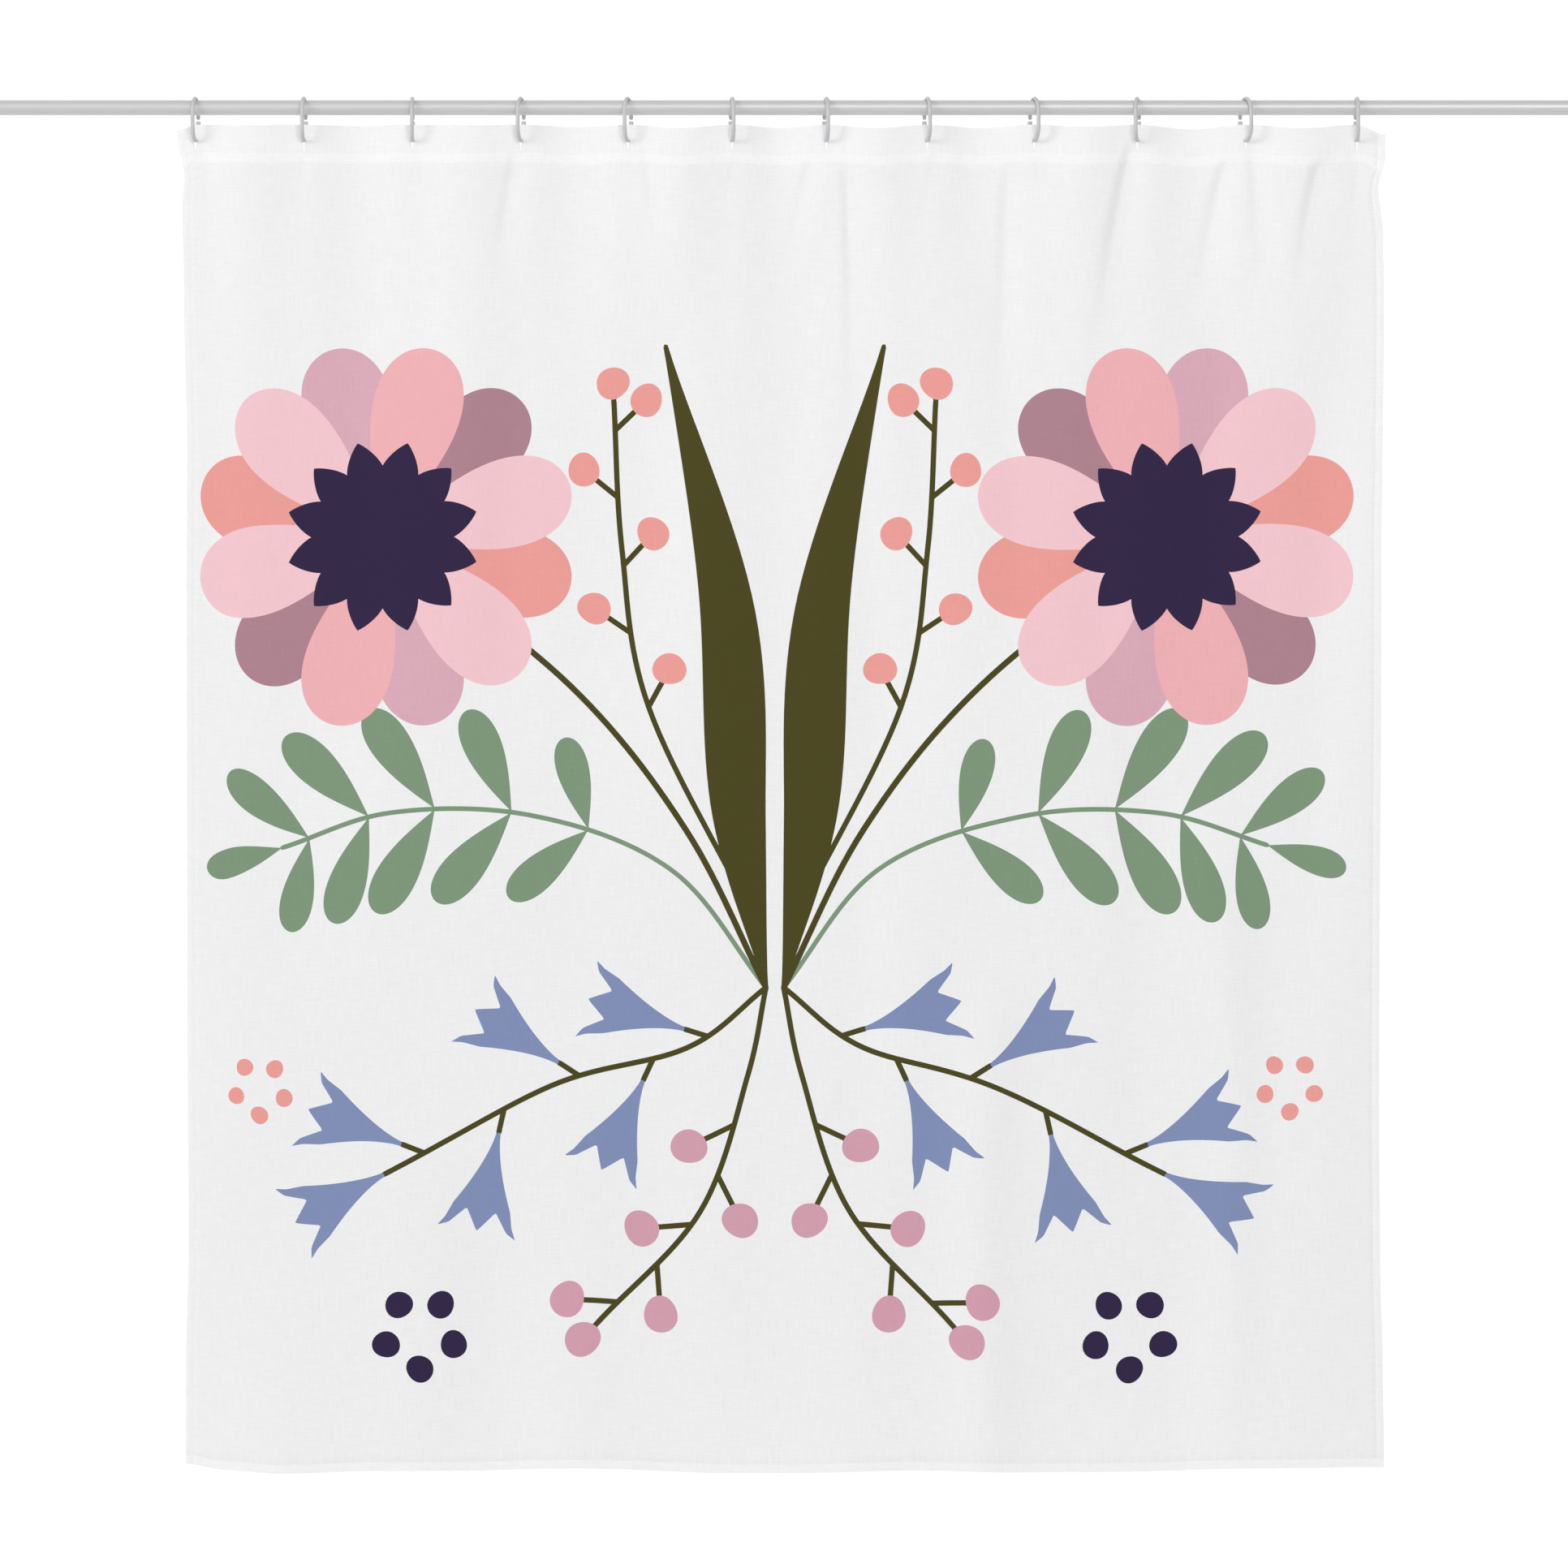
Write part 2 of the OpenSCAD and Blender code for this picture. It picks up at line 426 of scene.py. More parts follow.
def daisy(centre, radius, petals, inks):
    """A round flower: even petals in two layers about a dark heart with small teeth."""
    centre = np.asarray(centre, float)
    rays = [np.array((math.cos(a), math.sin(a))) for a in math.tau * (np.arange(petals) + 0.5) / petals]
    shapes = []
    for layer in (1, 0):
        for i in range(layer, petals, 2):
            petal = drop(centre, centre + radius * rays[i], 0.46 * radius, 1.3)
            shapes.append((petal, inks[i % len(inks)]))
    for ray in rays:
        tooth = spear(centre + 0.22 * radius * ray, centre + 0.5 * radius * ray, 0.2 * radius)
        shapes.append((tooth, "navy"))
    return shapes + [(berry(centre, 0.32 * radius, 0.0), "navy")]


def side_shoots(stem, count, lean, reach, first=0.26, both=False):
    """Side shoots of a stem, in turn or in pairs, and one at its tip, each as (start, end, direction)."""
    line = curve(stem, 40)
    ahead = np.gradient(line, axis=0)
    ahead /= np.linalg.norm(ahead, axis=1)[:, None]
    shoots = []
    for i in range(count):
        k = int((first + (0.94 - first) * i / (count - 1)) * (len(line) - 1))
        for way in (-1, 1) if both else (-((-1) ** i),):
            direction = turned([(math.cos(lean), way * math.sin(lean))], (0, 0), ahead[k])[0]
            shoots.append((line[k], line[k] + reach * direction, direction))
    return shoots + [(line[-1], line[-1] + 0.4 * reach * ahead[-1], ahead[-1])]


def leaf_spray(stem, pairs, length, width):
    """A green stem with leaves in even pairs."""
    shapes = [(ribbon(stem, 7), "leaf")]
    shoots = side_shoots(stem, pairs, math.radians(58), 0, 0.4, True)
    for i, (foot, _, direction) in enumerate(shoots):
        size = 0.62 + 0.38 * math.sin(math.pi * (i + 2) / (len(shoots) + 2))
        shapes.append((drop(foot, foot + size * length * direction, size * width, 1.2), "leaf"))
    return shapes


def sprig(stem, twigs, first, reach, radius, ink):
    """An olive stem with even side twigs and a berry at the end of each."""
    shoots = side_shoots(stem, twigs, math.radians(48), reach, first)
    shapes = [(ribbon(stem, 8), "olive")]
    shapes += [(ribbon([start, (start + end) / 2, end], 8), "olive") for start, end, _ in shoots]
    return shapes + [(berry(end, radius, 0.05, i), ink) for i, (_, end, _) in enumerate(shoots)]


def bell_stem(stem, bells, reach, length, mouth):
    """An olive stem with blue bells on even side twigs."""
    shoots = side_shoots(stem, bells, math.radians(50), reach)
    shapes = [(ribbon(stem, 8), "olive")]
    shapes += [(ribbon([start, (start + end) / 2, end], 8), "olive") for start, end, _ in shoots]
    return shapes + [(bell(end, direction, length, mouth), "blue") for _, end, direction in shoots]


def dot_ring(centre, ring, count, radius, ink):
    """Small dots evenly spaced on a circle."""
    angles = math.tau * (np.arange(count) + 0.25) / count
    places = [(centre[0] + ring * math.cos(a), centre[1] + ring * math.sin(a), a) for a in angles]
    return [(berry((across, down), radius, 0.04, a), ink) for across, down, a in places]


def half_print():
    """One half of a plain mirrored bouquet."""
    foot = (13, 1290)
    blade = [foot, (52, 1040), (72, 720), (160, 350)]
    return (
        leaf_spray([foot, (150, 1120), (360, 1040), (560, 1035), (722, 1085)], 5, 176, 60)
        + [(ribbon([foot, (130, 1060), (300, 850), (560, 640)], 9), "olive")]
        + daisy((575, 630), 285, 12, ("pink", "plum", "salmon", "mauve", "pink", "coral"))
        + sprig([(38, 1175), (185, 880), (224, 650), (236, 430)], 5, 0.34, 64, 24, "coral")
        + [(ribbon(blade, lambda t: 7 + 84 * math.sin(math.pi * t) ** 1.2), "olive")]
        + bell_stem([foot, (130, 1380), (330, 1440), (560, 1560)], 5, 36, 150, 108)
        + sprig([foot, (40, 1420), (110, 1620), (262, 1790)], 5, 0.46, 74, 26, "rose")
        + dot_ring((520, 1800), 52, 5, 20, "navy")
        + dot_ring((755, 1440), 38, 5, 13, "coral")
    )


def printed_shapes():
    """Every shape of the print, as (outline of x and depth in metres, ink), lowest first."""
    shapes = []
    for outline, ink in half_print():
        for way in (-1, 1):
            shapes.append((np.column_stack((MIRROR_X + way * outline[:, 0] * MM, outline[:, 1] * MM)), ink))
    return shapes


# ---------------------------------------------------------------- the hanging cloth's form


def smooth(t):
    """A smooth step from 0 to 1."""
    t = np.clip(t, 0, 1)
    return t * t * (3 - 2 * t)


# Creases in millimetres: from (x, depth) to (x, depth), steep left width, gentle right width, and
# height towards the back
CREASES = [
    (89, 58, 106, 560, 13, 70, 5.6), (330, 62, 320, 520, 15, 60, 4.6), (520, 36, 452, 430, 14, 44, 5.6),
    (655, 64, 606, 330, 15, 34, 5.0), (684, 56, 702, 300, 11, 24, 3.0), (792, 62, 748, 320, 14, 40, 5.2),
    (46, 62, 8, 260, 12, 26, 2.6), (-206, 58, -188, 230, 10, 30, 2.6), (-388, 56, -424, 300, 12, 40, 3.0),
    (-694, 60, -716, 140, 9, 20, 1.0), (-532, 60, -548, 150, 9, 20, 1.0), (-66, 60, -84, 170, 9, 22, 1.3),
    (222, 60, 206, 190, 9, 22, 1.4), (832, 58, 846, 190, 10, 24, 1.6), (-854, 60, -840, 190, 10, 22, 1.3),
]
# Soft folds in millimetres: x at the upper and the lower end, upper and lower depth, half width, and
# height towards the front
FOLDS = [
    (34, 30, 120, 620, 30, -2.4), (116, 122, 240, 1150, 38, -5.2), (118, 124, 950, 1700, 42, -4.6),
    (334, 330, 120, 820, 34, -3.6), (300, 292, 1150, 2150, 48, 9.8), (474, 468, 260, 950, 36, -3.8),
    (632, 626, 220, 760, 32, -3.6), (640, 650, 950, 2150, 44, 7.2), (-790, -740, 1150, 2200, 110, 11.0),
    (-560, -520, 1350, 2200, 90, 6.0), (-172, -165, 160, 820, 42, -3.4), (-393, -385, 220, 1000, 48, -3.4),
    (-110, -100, 300, 2100, 60, 4.5), (210, 200, 260, 1300, 44, -3.4), (520, 540, 760, 1700, 46, -3.6),
    (782, 778, 240, 1400, 42, -4.0), (-330, -310, 1300, 2200, 70, 4.5),
]
# Slow ripples: waves across the width, waves down the drop, phase, height in millimetres
RIPPLES = [(2.3, 0.4, 0.5, 2.6), (5.1, 0.7, 2.1, 1.3), (8.7, 1.3, 4.0, 0.7), (3.7, 2.2, 1.2, 0.8)]


def edge_drop(x):
    """How far the top edge dips below its height at a ring."""
    dip = np.zeros_like(x)
    dips = [1.5, 1.0, 1.5, 2.5, 5.5, 4.0, 5.5, 4.0, 3.5, 6.0, 5.5]
    for left, right, depth in zip(RING_X, RING_X[1:], dips):
        t = np.clip((x - left) / (right - left), 0, 1)
        dip += depth * MM * np.sin(math.pi * t) ** 2
    return dip


def soft_line(t, points):
    """A line that eases from each (place, height) in millimetres to the next."""
    points = np.array(points) * MM
    out = np.full_like(t, points[0, 1])
    for (t0, v0), (t1, v1) in zip(points, points[1:]):
        out = np.where(t >= t0, v0 + (v1 - v0) * smooth((t - t0) / (t1 - t0)), out)
    return out


def corner_drop(x):
    """How far the top corners sag outside the first and last rings."""
    left_sag, right_sag = 0.009, 0.015
    left = smooth((RING_X[0] - x) / (RING_X[0] - CLOTH_LEFT))
    right = smooth((x - RING_X[-1]) / (CLOTH_RIGHT - RING_X[-1]))
    return left_sag * left + right_sag * right


def hem_lift(x):
    """How far the bottom edge stands above its lowest line."""
    return soft_line(x, [
        (-890, 14), (-820, 5), (-740, 0), (-600, 3.5), (-480, 3.5), (-300, 7), (-80, 0), (0, 0), (200, 4),
        (340, 1), (480, 1.5), (700, 7), (880, 9),
    ])


def relief(x, depth):
    """How far the cloth stands out towards the back, +Y, at a flat point."""
    bow_height, bow_start, bow_fade = 0.0095, 0.02, 0.35
    y = np.zeros_like(x)
    top_share = np.exp(-np.maximum(depth - bow_start, 0) / bow_fade)
    for i, (left, right) in enumerate(zip(RING_X, RING_X[1:])):
        between = (x > left) & (x < right)
        bow = (1 - np.cos(math.tau * (x - left) / (right - left))) / 2
        way = -1 if i % 2 == 0 else 1
        y += np.where(between, way * bow_height * bow * top_share, 0)
    for x0, d0, x1, d1, steep, gentle, h in np.array(CREASES) * MM:
        t = (depth - d0) / (d1 - d0)
        away = x - x0 - (x1 - x0) * np.maximum(t, 0) ** 0.65
        window = smooth(t / 0.12) * smooth((1 - t) / 0.75)
        width = np.where(away < 0, steep, gentle) * (0.6 + 0.6 * np.clip(t, 0, 1))
        y += h * window * np.exp(-((away / width) ** 2))
    for x0, x1, d0, d1, w, h in np.array(FOLDS) * MM:
        t = (depth - d0) / (d1 - d0)
        centre = x0 + (x1 - x0) * t + 0.012 * np.sin(5 * depth + 30 * x0)
        window = smooth(t / 0.3) * smooth((1 - t) / 0.3)
        y -= h * window * np.exp(-(((x - centre) / w) ** 2))
    share = smooth((depth - 0.07) / 0.4)
    width, height = CLOTH_RIGHT - CLOTH_LEFT, -CLOTH_BOTTOM
    for across, down, phase, h in RIPPLES:
        wave = np.sin(math.tau * (across * (x - CLOTH_LEFT) / width + down * depth / height) + phase)
        y += h * MM * wave * share
    return y


def side_edges(x, depth):
    """The shift across that gives the side edges their lines."""
    left = soft_line(depth, [
        (25, -3), (42, -1), (95, 8), (135, 5), (280, 7), (500, 11.5), (720, 10.5), (1150, 11.5),
        (1700, 14), (1850, 10.5), (2000, 10),
    ])
    right = soft_line(depth, [
        (30, 0), (55, 0), (110, -10.5), (190, -3), (280, -2), (700, -6), (1500, -9.5), (1700, -8),
        (1860, -4), (2000, -2),
    ])
    reach = 0.02 + 0.09 * smooth((depth - 0.07) / 0.12)
    return left * smooth(1 - (x - CLOTH_LEFT) / reach) + right * smooth(1 - (CLOTH_RIGHT - x) / reach)


def seam_grooves(x, depth):
    """The shallow grooves that the hems' stitches pull into the front."""
    groove = 0.0004
    width = 0.0011
    far = (
        depth - (-CLOTH_TOP + TOP_HEM),
        depth - (-CLOTH_BOTTOM - BOTTOM_HEM),
        x - (CLOTH_LEFT + SIDE_HEM),
        x - (CLOTH_RIGHT - SIDE_HEM),
    )
    return sum(groove * np.exp(-((d / width) ** 2)) for d in far)


def layers(x, depth):
    """Layers of cloth at a flat point: hems are turned in twice."""
    top = depth < -CLOTH_TOP + TOP_HEM
    turn = top & (depth > -CLOTH_TOP + TOP_HEM - TOP_HEM_TURN)
    bottom = depth > -CLOTH_BOTTOM - BOTTOM_HEM
    side = (x < CLOTH_LEFT + SIDE_HEM) | (x > CLOTH_RIGHT - SIDE_HEM)
    return 1 + top * 1.0 + turn * 1.0 + (bottom | side) * 1.0


def cloth_point(x, depth, back=False):
    """Flat points (x, depth below the rail) as hanging points."""
    share = (depth + CLOTH_TOP) / (CLOTH_TOP - CLOTH_BOTTOM)
    sag = edge_drop(x) * smooth(1 - share * 6) + corner_drop(x) * smooth(1 - share * 12)
    z = -depth - sag + hem_lift(x) * smooth(share)
    y = relief(x, depth) - CLOTH_T / 2
    if back:
        y = y + CLOTH_T * layers(x, depth)
    else:
        y = y + seam_grooves(x, depth)
    return np.column_stack((x + side_edges(x, depth), y, z))


def cloth_normal(x, depth):
    """The front's normals at flat points."""
    e = 0.0004
    across = cloth_point(x + e, depth) - cloth_point(x - e, depth)
    down = cloth_point(x, depth + e) - cloth_point(x, depth - e)
    n = np.cross(down, across)
    n /= np.linalg.norm(n, axis=1)[:, None]
    return n * np.where(n[:, 1] > 0, -1, 1)[:, None]


# ---------------------------------------------------------------- the flat cloth's triangles


def slit_outline(ring_x):
    """A buttonhole held open by the ring: round at the top, closing to a point."""
    bar_depth = RING_HEIGHT - RING_TOP - WIRE_D / 2
    a = np.radians(np.linspace(180, 0, 9))
    top = np.column_stack((ring_x + SLIT_TOP_HALF * np.cos(a), bar_depth - SLIT_TOP_HALF * np.sin(a)))
    t = np.linspace(0, 1, 16)[1:-1]
    low = SLIT_LENGTH - SLIT_TOP_HALF
    round_part = np.sqrt(np.maximum(SLIT_TOP_HALF**2 - (low * t) ** 2, 0))
    mouth, least = 0.0015, 0.00015
    half = np.maximum(round_part, mouth * (1 - t) ** 0.8 + least)
    right = np.column_stack((ring_x + half, bar_depth + low * t))
    left = np.column_stack((ring_x - half, bar_depth + low * t))[::-1]
    return np.vstack((top, right, [[ring_x, bar_depth + low]], left))


def resampled(outline, step):
    """A closed outline as points about one step apart."""
    closed = np.vstack((outline, outline[:1]))
    run = np.concatenate(([0], np.cumsum(np.linalg.norm(np.diff(closed, axis=0), axis=1))))
    count = max(8, round(run[-1] / step))
    at = np.linspace(0, run[-1], count, endpoint=False)
    return np.column_stack([np.interp(at, run, closed[:, k]) for k in (0, 1)])


def inside(points, outline):
    """Which points lie in a closed outline."""
    found = np.zeros(len(points), bool)
    low, high = outline.min(0), outline.max(0)
    near = np.flatnonzero(np.all((points >= low) & (points <= high), axis=1))
    p = points[near]
    odd = np.zeros(len(near), bool)
    for (x0, y0), (x1, y1) in zip(outline, np.roll(outline, -1, axis=0)):
        if y0 != y1:
            cross = (y0 > p[:, 1]) != (y1 > p[:, 1])
            odd ^= cross & (p[:, 0] < (x1 - x0) * (p[:, 1] - y0) / (y1 - y0) + x0)
    found[near] = odd
    return found


def piece_limits():
    """The x of each boundary between pieces of cloth: just right of a ring, and halfway to the next."""
    limits = [CLOTH_LEFT, RING_X[0] + PIECE_EDGE]
    for left, right in zip(RING_X, RING_X[1:]):
        limits += [(left + right) / 2, right + PIECE_EDGE]
    limits[-1] = CLOTH_RIGHT
    return limits


def flat_triangles(shapes, slits):
    """Triangles of the flat cloth whose edges follow the print, the slits, the hems and the pieces."""
    top, bottom = -CLOTH_TOP, -CLOTH_BOTTOM
    points, edges = [], []

    def add_line(line, closed):
        start = len(points)
        points.extend(map(tuple, line))
        count = len(line)
        edges.extend((start + i, start + (i + 1) % count) for i in range(count if closed else count - 1))

    rows = np.concatenate((
        np.linspace(top, top + FINE_DEPTH, FINE_ROWS, endpoint=False),
        np.linspace(top + FINE_DEPTH, bottom, PLAIN_ROWS),
    ))
    for x in piece_limits():
        add_line(np.column_stack((np.full(len(rows), x), rows)), False)
    columns = np.linspace(CLOTH_LEFT, CLOTH_RIGHT, COLUMNS)
    for depth in (top, top + TOP_HEM - TOP_HEM_TURN, bottom):
        add_line(np.column_stack((columns, np.full(len(columns), depth))), False)
    for depth in (top + TOP_HEM, bottom - BOTTOM_HEM):
        for off in (-SEAM_PITCH, 0, SEAM_PITCH):
            add_line(np.column_stack((columns, np.full(len(columns), depth + off))), False)
    for x in (CLOTH_LEFT + SIDE_HEM, CLOTH_RIGHT - SIDE_HEM):
        for off in (-SEAM_PITCH, 0, SEAM_PITCH):
            add_line(np.column_stack((np.full(len(rows), x + off), rows)), False)
    for outline in slits:
        add_line(outline, True)
    for outline, _ in shapes:
        add_line(resampled(outline, PRINT_STEP), True)
    tree = KDTree(len(points))
    for i, p in enumerate(points):
        tree.insert((p[0], p[1], 0), i)
    tree.balance()
    for j, depth in enumerate(rows[1:-1]):
        shift = 0.5 if j % 2 else 0.0
        for i in range(1, len(columns) - 1):
            x = columns[i] + shift * (columns[1] - columns[0])
            if x < CLOTH_RIGHT - 0.002 and tree.find((x, depth, 0))[2] > POINT_GAP:
                points.append((x, depth))
    found = delaunay_2d_cdt([Vector(p) for p in points], edges, [], 0, 1e-7, False)
    flat = np.array([tuple(p) for p in found[0]])
    tris = np.array(found[2])
    centre = flat[tris].mean(1)
    keep = np.all((centre > (CLOTH_LEFT, top)) & (centre < (CLOTH_RIGHT, bottom)), axis=1)
    for outline in slits:
        keep &= ~inside(centre, outline)
    tris, centre = tris[keep], centre[keep]
    a, b, c = flat[tris[:, 0]], flat[tris[:, 1]], flat[tris[:, 2]]
    area = (b[:, 0] - a[:, 0]) * (c[:, 1] - a[:, 1]) - (c[:, 0] - a[:, 0]) * (b[:, 1] - a[:, 1])
    tris, centre, area = tris[abs(area) > 1e-12], centre[abs(area) > 1e-12], area[abs(area) > 1e-12]
    tris[area < 0] = tris[area < 0][:, ::-1]
    return flat, tris, centre


def face_inks(centre, shapes):
    """The colour of each triangle: the last shape that covers it, or the cloth's white."""
    colour = np.tile(np.array(WHITE), (len(centre), 1))
    for outline, ink in shapes:
        colour[inside(centre, resampled(outline, PRINT_STEP))] = INKS[ink]
    count = layers(centre[:, 0], centre[:, 1])
    plain = np.all(colour == np.array(WHITE), axis=1)
    colour[plain] *= (1 + LAYER_GAIN * (count[plain] - 1))[:, None]
    return np.clip(colour, 0, 1)


# ---------------------------------------------------------------- meshes


def new_object(name, verts, faces, material):
    """A smooth-shaded mesh object in the scene."""
    mesh = bpy.data.meshes.new(name)
    mesh.from_pydata([tuple(v) for v in verts], [], [tuple(f) for f in faces])
    mesh.polygons.foreach_set("use_smooth", [True] * len(mesh.polygons))
    mesh.materials.append(material)
    obj = bpy.data.objects.new(name, mesh)
    bpy.context.scene.collection.objects.link(obj)
    return obj


def stitch_shape():
    """A flattened bead of thread, as local (along, side, out) points and triangles."""
    rings = [(-0.5, 0.35, 0.15), (-0.3, 1.0, 0.9), (0.3, 1.0, 0.9), (0.5, 0.35, 0.15)]
    verts = []
    for along, wide, high in rings:
        for k in range(5):
            a = math.pi * (k / 4)
            across, out = 1.4 * wide * math.cos(a), 1.2 * high * math.sin(a)
            verts.append((along * STITCH_LENGTH, STITCH_R * across, STITCH_R * out))
    faces = []
    for r in range(3):
        for k in range(4):
            a, b = r * 5 + k, r * 5 + k + 1
            faces += [(a, b, b + 5), (a, b + 5, a + 5)]
        faces += [(r * 5 + 4, r * 5, r * 5 + 5), (r * 5 + 4, r * 5 + 5, r * 5 + 9)]
    faces += [(0, 4, 3), (0, 3, 2), (0, 2, 1), (15, 16, 17), (15, 17, 18), (15, 18, 19)]
    return np.array(verts), np.array(faces)


def stitch_places():
    """Flat places of every stitch, with the flat direction that it lies in."""
    places = []
    across = np.arange(CLOTH_LEFT + 0.004, CLOTH_RIGHT - 0.003, STITCH_PITCH)
    for depth in (-CLOTH_TOP + TOP_HEM, -CLOTH_BOTTOM - BOTTOM_HEM):
        places += [(x, depth, 1, 0) for x in across]
    down = np.arange(-CLOTH_TOP + TOP_HEM + 0.004, -CLOTH_BOTTOM - BOTTOM_HEM - 0.003, STITCH_PITCH)
    for x in (CLOTH_LEFT + SIDE_HEM, CLOTH_RIGHT - SIDE_HEM):
        places += [(x, d, 0, 1) for d in down]
    for ring_x in RING_X:
        outline = resampled(slit_outline(ring_x), SLIT_STEP)
        middle = outline.mean(0)
        for p in outline:
            way = p - (ring_x, np.clip(p[1], middle[1] - 0.004, middle[1] + 0.006))
            way /= max(np.linalg.norm(way), 1e-9)
            spot = p + way * STITCH_LENGTH * 0.42
            places.append((spot[0], spot[1], way[0], way[1]))
    return np.array(places)


def stitches_between(places, low, high, shapes):
    """Thread beads on the front of the piece between two x, and their colours, which follow the print."""
    chosen = places[(places[:, 0] >= low) & (places[:, 0] < high)]
    shape, faces = stitch_shape()
    base = cloth_point(chosen[:, 0], chosen[:, 1])
    normal = cloth_normal(chosen[:, 0], chosen[:, 1])
    e = 0.0003
    ahead = cloth_point(chosen[:, 0] + e * chosen[:, 2], chosen[:, 1] + e * chosen[:, 3])
    along = ahead - base
    along /= np.linalg.norm(along, axis=1)[:, None]
    side = np.cross(normal, along)
    frames = np.stack((along, side, normal), axis=1)
    verts = base[:, None] + np.einsum("vk,nkj->nvj", shape, frames)
    tris = faces[None] + (np.arange(len(chosen)) * len(shape))[:, None, None]
    colours = np.repeat(face_inks(chosen[:, :2], shapes), len(faces), axis=0)
    return verts.reshape(-1, 3), tris.reshape(-1, 3), colours


def cloth_piece(name, flat, tris, colour, threads, material):
    """One piece of cloth: printed front, pale back, closed rims, and its stitches."""
    used, local = np.unique(tris, return_inverse=True)
    local = local.reshape(-1, 3)
    x, depth = flat[used, 0], flat[used, 1]
    front, back = cloth_point(x, depth), cloth_point(x, depth, True)
    normal = cloth_normal(x, depth)
    count = len(used)
    sides = np.vstack((local[:, [0, 1]], local[:, [1, 2]], local[:, [2, 0]]))
    key = np.sort(sides, axis=1)
    _, first, times = np.unique(key, axis=0, return_index=True, return_counts=True)
    rim = sides[first[times == 1]]
    rim_tris = np.vstack((
        np.column_stack((rim[:, 0], rim[:, 1], rim[:, 0] + count)),
        np.column_stack((rim[:, 1], rim[:, 1] + count, rim[:, 0] + count)),
    ))
    thread_verts, thread_tris, thread_colour = threads
    front_tris, back_tris = local[:, ::-1], local + count
    verts = np.vstack((front, back, thread_verts))
    faces = np.vstack((front_tris, back_tris, rim_tris, thread_tris + 2 * count))
    obj = new_object(name, verts, faces, material)
    mesh = obj.data
    white = np.array(WHITE)
    pale = white + (colour - white) * BLEED_THROUGH
    face_colour = np.vstack((colour, pale, np.tile(white, (len(rim_tris), 1)), thread_colour))
    ink = mesh.attributes.new("ink", "FLOAT_COLOR", "CORNER")
    corner = np.ones((len(faces) * 3, 4), np.float32)
    corner[:, :3] = np.repeat(face_colour, 3, axis=0)
    ink.data.foreach_set("color", corner.ravel())
    flat_uv = mesh.uv_layers.new(name="flat")
    uv = np.zeros((len(verts), 2))
    uv[:count] = uv[count:2 * count] = np.column_stack((x, depth))
    uv[2 * count:] = thread_verts[:, [0, 2]]
    flat_uv.data.foreach_set("uv", uv[faces.ravel()].astype(np.float32).ravel())
    mesh.validate()
    smooth_normals = np.zeros((len(verts), 3))
    smooth_normals[:count], smooth_normals[count:2 * count] = normal, -normal
    soft = len(front_tris) + len(back_tris)
    corners = np.zeros((len(faces) * 3, 3))
    corners[: soft * 3] = smooth_normals[faces[:soft].ravel()]
    mesh.normals_split_custom_set([tuple(v) for v in corners])
    return obj


def build_cloth(material):
    shapes = printed_shapes()
    slits = [slit_outline(x) for x in RING_X]
    flat, tris, centre = flat_triangles(shapes, slits)
    colour = face_inks(centre, shapes)
    places = stitch_places()
    limits = piece_limits()
    pieces = []
    for i, (low, high) in enumerate(zip(limits, limits[1:])):
        mine = (centre[:, 0] > low) & (centre[:, 0] < high)
        threads = stitches_between(places, low, high, shapes)
        name = f"curtain_cloth_{i + 1:02d}"
        pieces.append(cloth_piece(name, flat, tris[mine], colour[mine], threads, material))
    return pieces, limits


def attach_cloth(pieces):
    """The first piece follows ring 01, each other piece stays where it hangs, and the CAD cloth part that
    each piece stands for is hidden.
    """
    for i, piece in enumerate(pieces):
        bay = (i - 1) // 2
        if i == 0:
            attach(piece, "ring_01")
            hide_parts("cloth_at_ring_01")
        elif i % 2:
            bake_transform(piece)
            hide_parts(f"cloth_fold_{bay + 1:02d}")
        else:
            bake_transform(piece)
            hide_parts(f"cloth_at_ring_{bay + 2:02d}")


# ---------------------------------------------------------------- snap rings


def ring_path():
    """Local (y, z) centrelines: the body from its lower back tip to the apex, and the arm from there on."""
    r = (RING_DEPTH - WIRE_D) / 2
    upper = RING_TOP - WIRE_D / 2 - r
    lower = upper - (RING_HEIGHT - RING_DEPTH)
    snap = (upper + lower) / 2

    def arc(z, a):
        return (r * math.cos(math.radians(a)), z + r * math.sin(math.radians(a)))

    body = [(r, snap - SNAP_GAP / 2 - k * CUP_LENGTH / 6) for k in range(7)]
    body += [arc(lower, a) for a in range(0, -181, -9)]
    body += [(-r, lower + (upper - lower) * k / 5) for k in range(1, 5)]
    body += [arc(upper, a) for a in range(180, 89, -9)]
    arm = [arc(upper, a) for a in range(90, -1, -6)]
    arm += [(r, upper + (snap + SNAP_GAP / 2 + WIRE_D / 2 - upper) * k / 3) for k in range(1, 4)]
    return body, arm


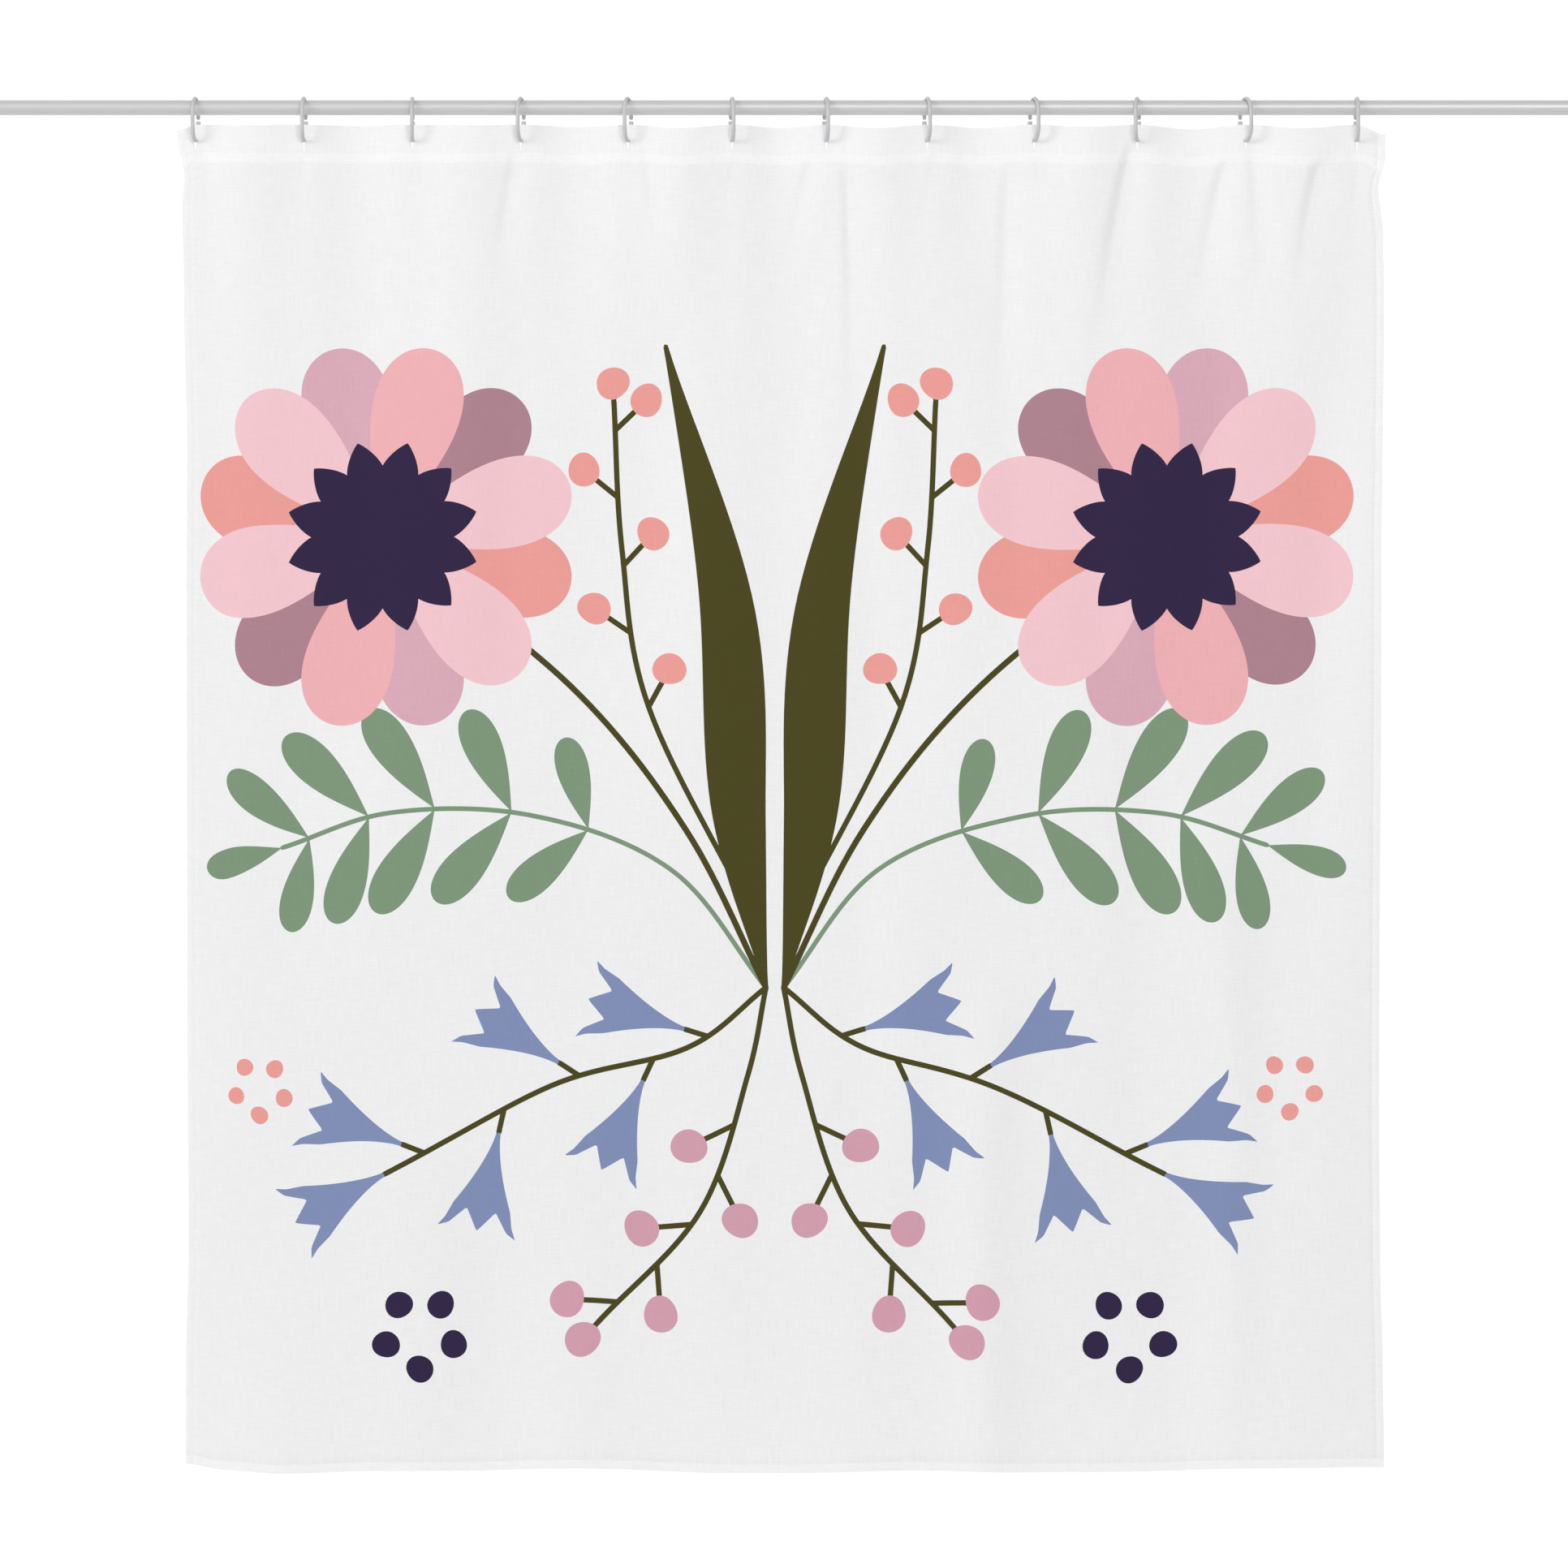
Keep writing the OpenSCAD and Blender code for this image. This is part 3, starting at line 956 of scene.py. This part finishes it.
def swept(path, radii, sides=24, seam=0.00012):
    """A tube of round section along a path in the YZ plane, with a faint moulding seam round its middle."""
    p = np.array(path)
    step = np.gradient(p, axis=0)
    step /= np.linalg.norm(step, axis=1)[:, None]
    out = np.column_stack((-step[:, 1], step[:, 0]))
    a = np.linspace(0, math.tau, sides, endpoint=False)
    section = 1 + np.where(abs(np.sin(a)) < 0.08, seam / (WIRE_D / 2), 0)
    verts = []
    for centre, o, r in zip(p, out, radii):
        for k in range(sides):
            lateral, radial = RING_WIDE * r * section[k] * math.sin(a[k]), r * section[k] * math.cos(a[k])
            verts.append((lateral, centre[0] + o[0] * radial, centre[1] + o[1] * radial))
    faces = []
    for i in range(len(p) - 1):
        for k in range(sides):
            b, c = i * sides + k, i * sides + (k + 1) % sides
            faces.append((b, c, c + sides, b + sides))
    faces.append(tuple(range(sides - 1, -1, -1)))
    faces.append(tuple(range((len(p) - 1) * sides, len(p) * sides)))
    return verts, faces


def placed(verts, ring_x, yaw):
    """A ring's local points, turned and moved to its place on the rail."""
    c, s = math.cos(yaw), math.sin(yaw)
    return [(ring_x + x * c - y * s, x * s + y * c, z) for x, y, z in verts]


def build_rings(material):
    body, arm = ring_path()
    wire, cup = WIRE_D / 2, CUP_D / 2
    cup_radii = [cup * 0.93, cup, cup, cup, cup * 0.97, wire * 1.08, wire]
    body_radii = cup_radii + [wire] * (len(body) - len(cup_radii))
    tip_angles = [math.radians(a) for a in range(18, 91, 18)]
    tip = [(arm[-1][0], arm[-1][1] - wire * math.sin(a)) for a in tip_angles]
    tip_radii = [max(wire * math.cos(a), 0.0002) for a in tip_angles]
    for i, (ring_x, yaw) in enumerate(zip(RING_X, RING_YAW)):
        number = f"{i + 1:02d}"
        verts, faces = swept(body, body_radii)
        ring = new_object(f"snap_ring_{number}", placed(verts, ring_x, yaw), faces, material)
        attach(ring, f"ring_{number}")
        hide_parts(f"ring_{number}")
        verts, faces = swept(arm + tip, [wire] * len(arm) + tip_radii)
        spring = new_object(f"snap_ring_arm_{number}", placed(verts, ring_x, yaw), faces, material)
        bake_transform(spring)
        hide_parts(f"clip_{number}")


# ---------------------------------------------------------------- rail and flanges


def finish_hardware():
    """Puts paint and steel on the CAD nodes that keep their shape."""
    rail = metal_material("rail_satin", linear(208, 208, 209), 0.2, 0.4, (4, 900, 900))
    flange = metal_material("flange_satin", linear(208, 208, 209), 0.0, 0.42, (700, 60, 60))
    screw = metal_material("screw_steel", linear(120, 120, 124), 1.0, 0.3, (400, 400, 400))
    for name, node in frame["nodes"].items():
        for start, material in (("rail", rail), ("flange", flange), ("grub", screw)):
            if name.startswith(start):
                node.data.materials.clear()
                node.data.materials.append(material)


make_camera()
make_light()
make_floor()
cloth_pieces, cloth_limits = build_cloth(cloth_material())
attach_cloth(cloth_pieces)
build_rings(plastic_material())
finish_hardware()
